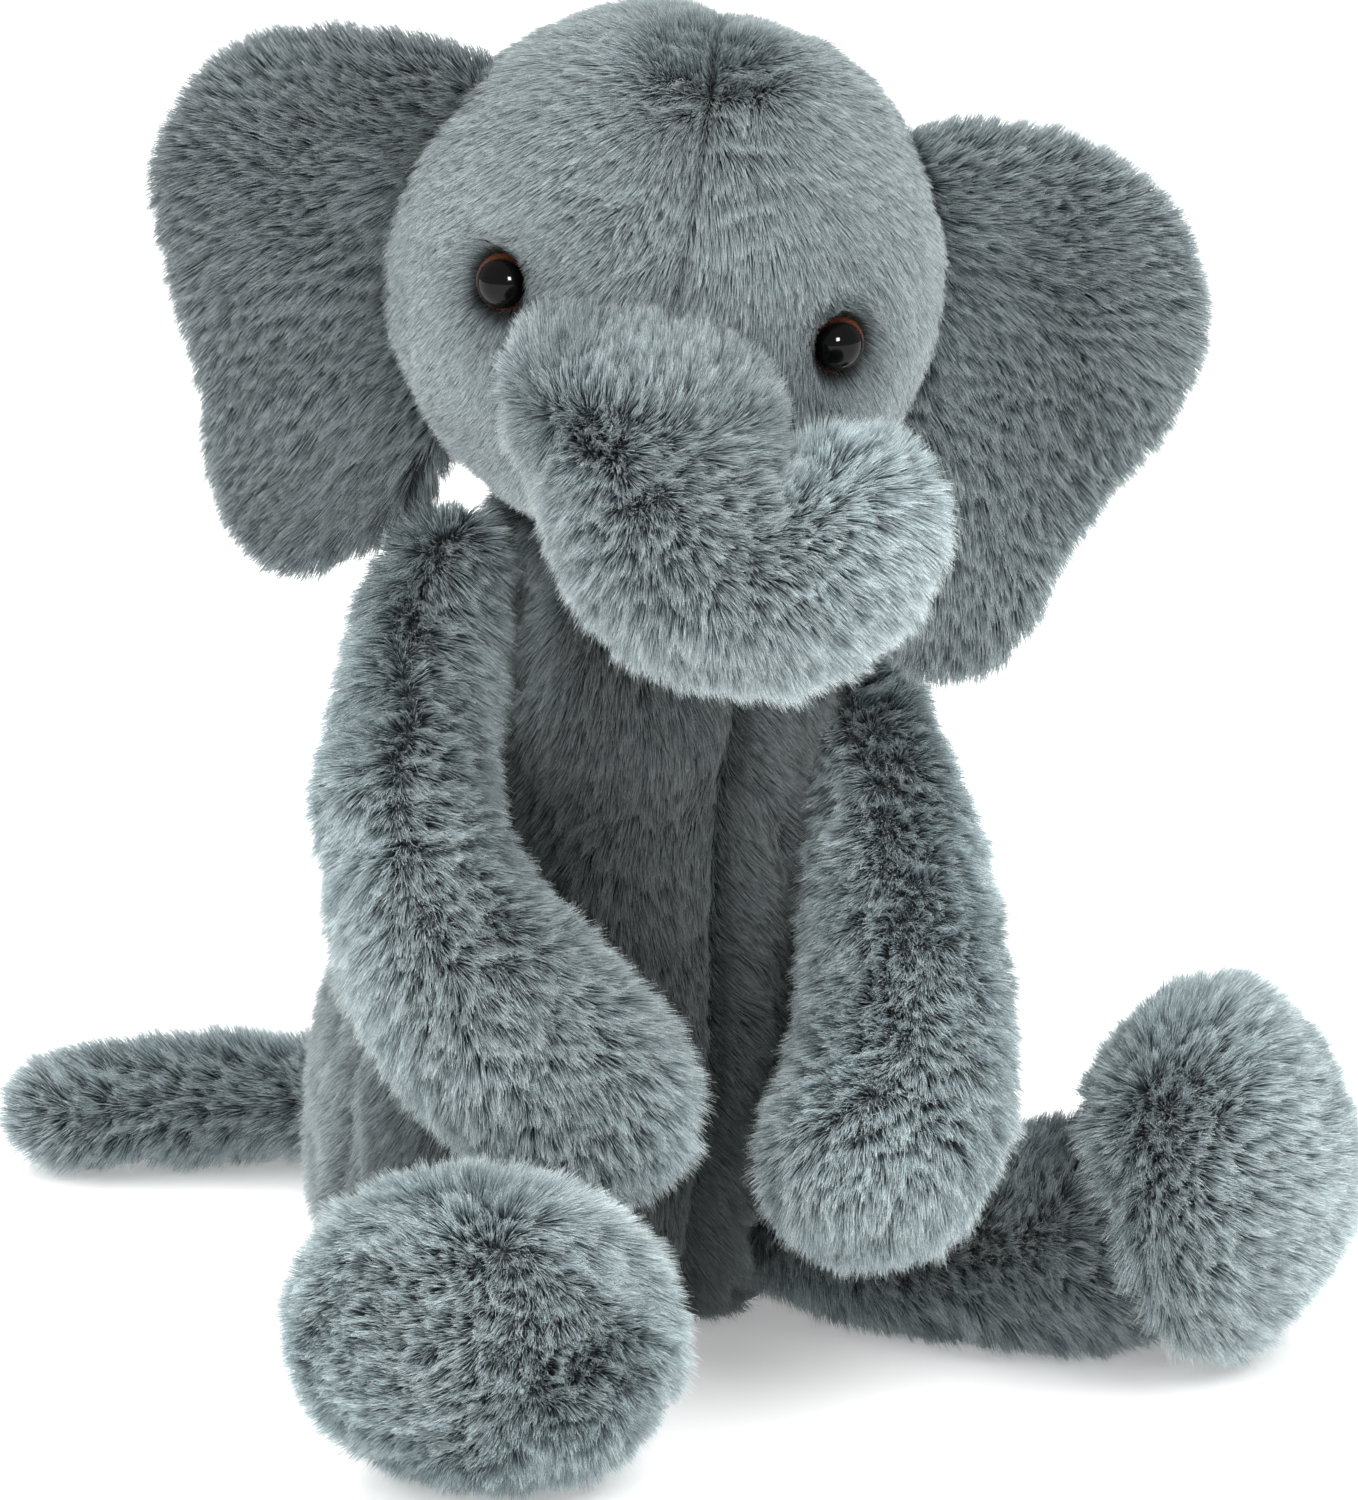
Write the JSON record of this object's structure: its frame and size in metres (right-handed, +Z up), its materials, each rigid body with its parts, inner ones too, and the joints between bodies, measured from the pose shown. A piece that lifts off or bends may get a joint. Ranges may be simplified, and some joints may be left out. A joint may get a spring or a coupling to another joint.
{
  "type": "stuffed elephant",
  "caption": "Seated plush elephant with big ears, a curled trunk, long soft arms and legs and a tail, sewn from fur fabric and loosely stuffed to sit and flop.",
  "frame": {"origin": "middle of the flat seat, on the floor", "axes": "+Z up from the floor; the torso faces -Y, and the elephant's left side is +X"},
  "size_m": [0.245, 0.2608, 0.2875],
  "materials": {
    "fur": "long brushed pile, dark roots and pale frosted tips",
    "eye": "high gloss dome, brown rim",
    "washer": "moulded, matt",
    "stuffing": "loose polyester fibre",
    "bean_cloth": "plain woven cotton"
  },
  "bodies": {
    "torso": {"front_left_panel": "fur", "front_right_panel": "fur", "back_left_panel": "fur", "back_right_panel": "fur", "seat_panel": "fur", "torso_stuffing": "stuffing", "seat_bean_bag": "bean_cloth"},
    "neck": {"neck_wad": "stuffing"},
    "head": {"head_left_panel": "fur", "head_right_panel": "fur", "head_stuffing": "stuffing", "trunk_root_cover": "fur", "trunk_root_stuffing": "stuffing", "left_eye": "eye", "right_eye": "eye", "left_eye_washer": "washer", "right_eye_washer": "washer"},
    "trunk": {"trunk_upper_panel": "fur", "trunk_under_panel": "fur", "trunk_stuffing": "stuffing"},
    "left_ear": {"left_ear_front": "fur", "left_ear_wadding": "stuffing", "left_ear_back": "fur"},
    "right_ear": {"right_ear_front": "fur", "right_ear_wadding": "stuffing", "right_ear_back": "fur"},
    "left_arm": {"left_arm_outer_panel": "fur", "left_arm_inner_panel": "fur", "left_arm_stuffing": "stuffing"},
    "right_arm": {"right_arm_outer_panel": "fur", "right_arm_inner_panel": "fur", "right_arm_stuffing": "stuffing"},
    "left_leg": {"left_leg_top_panel": "fur", "left_leg_under_panel": "fur", "left_leg_stuffing": "stuffing"},
    "right_leg": {"right_leg_top_panel": "fur", "right_leg_under_panel": "fur", "right_leg_stuffing": "stuffing"},
    "left_foot": {"left_foot_cover": "fur", "left_foot_sole": "fur", "left_foot_stuffing": "stuffing"},
    "right_foot": {"right_foot_cover": "fur", "right_foot_sole": "fur", "right_foot_stuffing": "stuffing"},
    "tail": {"tail_top_panel": "fur", "tail_under_panel": "fur", "tail_stuffing": "stuffing"}
  },
  "joints": [
    {"name": "neck_turn", "type": "hinge", "parent": "torso", "child": "neck", "pos_m": [0.016, -0.02, 0.168], "axis": [-0.0989, 0.1088, -0.9891], "range_deg": [-8, 30]},
    {"name": "neck_nod", "type": "hinge", "parent": "neck", "child": "head", "pos_m": [0.016, -0.02, 0.168], "axis": [0.8851, -0.4317, -0.1736], "range_deg": [-10, 10]},
    {"name": "trunk_lift", "type": "hinge", "parent": "head", "child": "trunk", "pos_m": [-0.02183, -0.09265, 0.20621], "axis": [-0.8851, 0.4317, 0.1736], "range_deg": [0, 25]},
    {"name": "left_ear_flap", "type": "hinge", "parent": "head", "child": "left_ear", "pos_m": [0.06411, -0.0589, 0.22058], "axis": [0.1561, -0.0761, 0.9848], "range_deg": [-18, 18]},
    {"name": "right_ear_flap", "type": "hinge", "parent": "head", "child": "right_ear", "pos_m": [-0.04211, -0.0071, 0.24142], "axis": [-0.1561, 0.0761, -0.9848], "range_deg": [-18, 18]},
    {"name": "left_shoulder", "type": "hinge", "parent": "torso", "child": "left_arm", "pos_m": [0.054, -0.018, 0.143], "axis": [-0.8419, -0.2164, 0.4943], "range_deg": [0, 7]},
    {"name": "right_shoulder", "type": "hinge", "parent": "torso", "child": "right_arm", "pos_m": [-0.038, -0.014, 0.152], "axis": [-0.9944, 0.045, -0.0951], "range_deg": [0, 30]},
    {"name": "left_hip", "type": "hinge", "parent": "torso", "child": "left_leg", "pos_m": [0.033, -0.043, 0.019], "axis": [0, 0, 1], "range_deg": [0, 8]},
    {"name": "right_hip", "type": "hinge", "parent": "torso", "child": "right_leg", "pos_m": [-0.027, -0.043, 0.021], "axis": [0, 0, -1], "range_deg": [-4, 12]},
    {"name": "left_ankle", "type": "hinge", "parent": "left_leg", "child": "left_foot", "pos_m": [0.081, -0.096, 0.025], "axis": [0.6235, 0.7818, 0], "range_deg": [-10, 10]},
    {"name": "right_ankle", "type": "hinge", "parent": "right_leg", "child": "right_foot", "pos_m": [-0.058, -0.093, 0.024], "axis": [0.8376, -0.5463, 0], "range_deg": [-5, 10]},
    {"name": "tail_swing", "type": "hinge", "parent": "torso", "child": "tail", "pos_m": [-0.003, 0.052, 0.017], "axis": [0, 0, 1], "range_deg": [-30, 8]}
  ]
}
